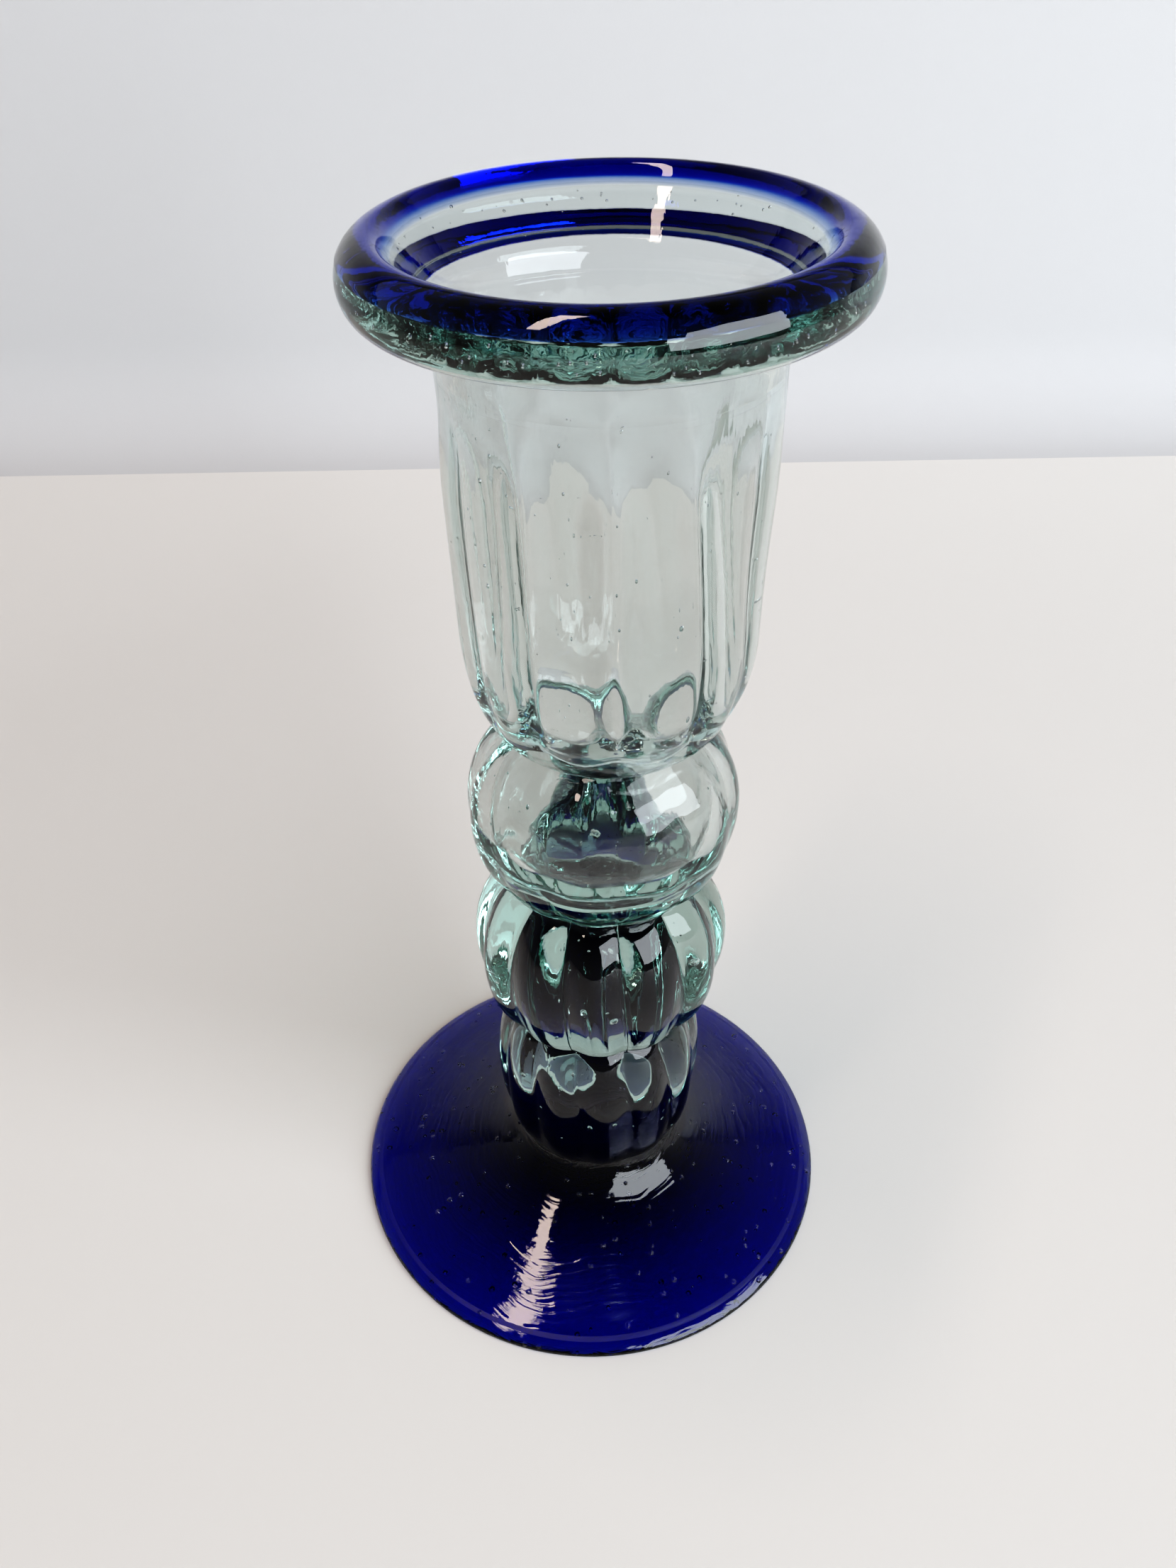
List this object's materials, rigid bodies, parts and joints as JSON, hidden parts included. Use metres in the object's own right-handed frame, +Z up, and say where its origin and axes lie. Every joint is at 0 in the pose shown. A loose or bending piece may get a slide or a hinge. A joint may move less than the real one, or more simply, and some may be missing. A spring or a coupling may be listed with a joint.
{
  "type": "glass candlestick",
  "caption": "Free-standing hand-blown glass candlestick: wide round foot, stacked ribbed knops, a ribbed hollow cup and a thick rolled lip with a coloured wrap.",
  "frame": {"origin": "centre of the foot's resting face, on the surface the candlestick stands on", "axes": "+Z up along the stem; X to the right as seen from the front and Y to the back, with a rib crest facing the front where the lower and middle knops meet"},
  "size_m": [0.12, 0.12, 0.2416],
  "materials": {
    "cobalt_glass_foot": "fire-polished deep cobalt blue with small seeds",
    "aqua_glass": "fire-polished clear glass with a pale aqua tint and small seeds",
    "cobalt_glass_wrap": "fire-polished cobalt blue, feathering to clear"
  },
  "bodies": {
    "root": {"foot": "cobalt_glass_foot", "lower_knop": "aqua_glass", "middle_knop": "aqua_glass", "upper_knop": "aqua_glass", "candle_cup": "aqua_glass", "rolled_lip": "aqua_glass", "cobalt_lip_wrap": "cobalt_glass_wrap"}
  },
  "joints": []
}
